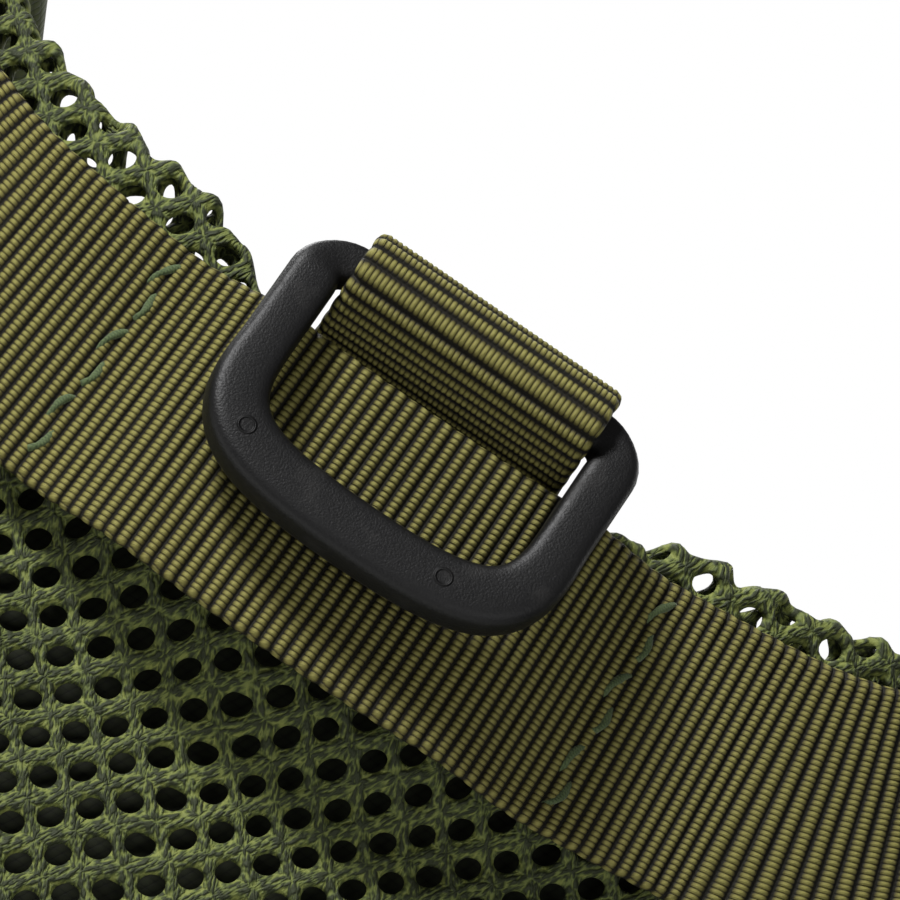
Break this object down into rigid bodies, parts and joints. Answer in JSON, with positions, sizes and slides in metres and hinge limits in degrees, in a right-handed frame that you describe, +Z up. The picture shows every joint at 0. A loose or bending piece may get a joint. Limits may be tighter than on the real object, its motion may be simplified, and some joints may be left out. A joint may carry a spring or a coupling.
{
  "type": "fishing vest",
  "caption": "Sleeveless mesh vest in worn shape, with flap pockets, a front zip, side straps and a D-ring hung in a webbing loop at the back of the neck for a landing net.",
  "frame": {"origin": "middle of the neck opening, level with the lowest point of the back neck edge", "axes": "+Z up, the wearer faces -Y, +X is the wearer's left"},
  "size_m": [0.4932, 0.3046, 0.5928],
  "materials": {
    "mesh": "knitted polyester mesh with round holes, matt olive",
    "shell_cloth": "plain woven olive cloth, matt",
    "webbing": "ribbed olive webbing, slightly glossy yarn",
    "lining": "thin plain cloth, very dark olive, matt",
    "binding": "grosgrain tape, dark olive",
    "fleece": "cream pile",
    "moulded_black": "moulded acetal with a fine grain",
    "zip_moulding": "dark moulded zip plastic"
  },
  "bodies": {
    "vest": {"back_panel": "mesh", "front_panel_left": "mesh", "front_panel_right": "mesh", "back_lining": "lining", "hem_binding": "binding", "armhole_binding_left": "binding", "front_edge_binding_left": "binding", "armhole_binding_right": "binding", "front_edge_binding_right": "binding", "shoulder_yoke_left": "shell_cloth", "shoulder_yoke_right": "shell_cloth", "back_neck_strap": "webbing", "ring_loop": "webbing", "tool_ring_tab_left": "webbing", "tool_ring_tab_right": "webbing", "zip_tape_left": "binding", "zip_teeth_left": "zip_moulding", "zip_top_stop_left": "zip_moulding", "zip_tape_right": "binding", "zip_teeth_right": "zip_moulding", "zip_top_stop_right": "zip_moulding", "zip_retainer_box": "zip_moulding", "zip_insertion_pin": "zip_moulding", "chest_pocket_left": "shell_cloth", "chest_pocket_right": "shell_cloth", "lower_pocket_left": "shell_cloth", "lower_pocket_right": "shell_cloth", "rear_pouch": "shell_cloth", "fly_patch": "fleece", "side_buckle_left": "moulded_black", "front_side_strap_left": "webbing", "back_side_strap_left": "webbing", "side_buckle_right": "moulded_black", "front_side_strap_right": "webbing", "back_side_strap_right": "webbing"},
    "net_ring": {"net_ring": "moulded_black"},
    "zip_slider": {"zip_slider": "zip_moulding"},
    "zip_pull": {"zip_pull": "zip_moulding"},
    "chest_flap_left": {"chest_flap_left": "shell_cloth"},
    "chest_flap_right": {"chest_flap_right": "shell_cloth"},
    "lower_flap_left": {"lower_flap_left": "shell_cloth"},
    "lower_flap_right": {"lower_flap_right": "shell_cloth"},
    "tool_ring_left": {"tool_ring_left": "moulded_black"},
    "tool_ring_right": {"tool_ring_right": "moulded_black"}
  },
  "joints": [
    {"name": "net_ring_hinge", "type": "hinge", "parent": "vest", "child": "net_ring", "pos_m": [0, 0.09289, 0.00835], "axis": [1, 0, 0], "range_deg": [0, 150]},
    {"name": "zip_slide", "type": "slide", "parent": "vest", "child": "zip_slider", "axis": [0, 0, -1], "range_m": [0, 0.3]},
    {"name": "zip_pull_hinge", "type": "hinge", "parent": "zip_slider", "child": "zip_pull", "pos_m": [0, -0.1317, -0.23935], "axis": [-1, 0, 0], "range_deg": [0, 140]},
    {"name": "chest_flap_left_hinge", "type": "hinge", "parent": "vest", "child": "chest_flap_left", "pos_m": [0.09874, -0.12136, -0.16654], "axis": [-0.9786, -0.2057, 0], "range_deg": [0, 110]},
    {"name": "chest_flap_right_hinge", "type": "hinge", "parent": "vest", "child": "chest_flap_right", "pos_m": [-0.09874, -0.12136, -0.16654], "axis": [-0.9786, 0.2057, 0], "range_deg": [0, 110]},
    {"name": "lower_flap_left_hinge", "type": "hinge", "parent": "vest", "child": "lower_flap_left", "pos_m": [0.10277, -0.1218, -0.32465], "axis": [-0.9767, -0.2148, 0], "range_deg": [0, 95]},
    {"name": "lower_flap_right_hinge", "type": "hinge", "parent": "vest", "child": "lower_flap_right", "pos_m": [-0.10277, -0.1218, -0.32465], "axis": [-0.9767, 0.2148, 0], "range_deg": [0, 95]},
    {"name": "tool_ring_left_hinge", "type": "hinge", "parent": "vest", "child": "tool_ring_left", "pos_m": [0.07281, -0.12191, -0.11583], "axis": [-0.9919, -0.1274, 0], "range_deg": [0, 120]},
    {"name": "tool_ring_right_hinge", "type": "hinge", "parent": "vest", "child": "tool_ring_right", "pos_m": [-0.07281, -0.12191, -0.11583], "axis": [-0.9919, 0.1274, 0], "range_deg": [0, 120]}
  ]
}
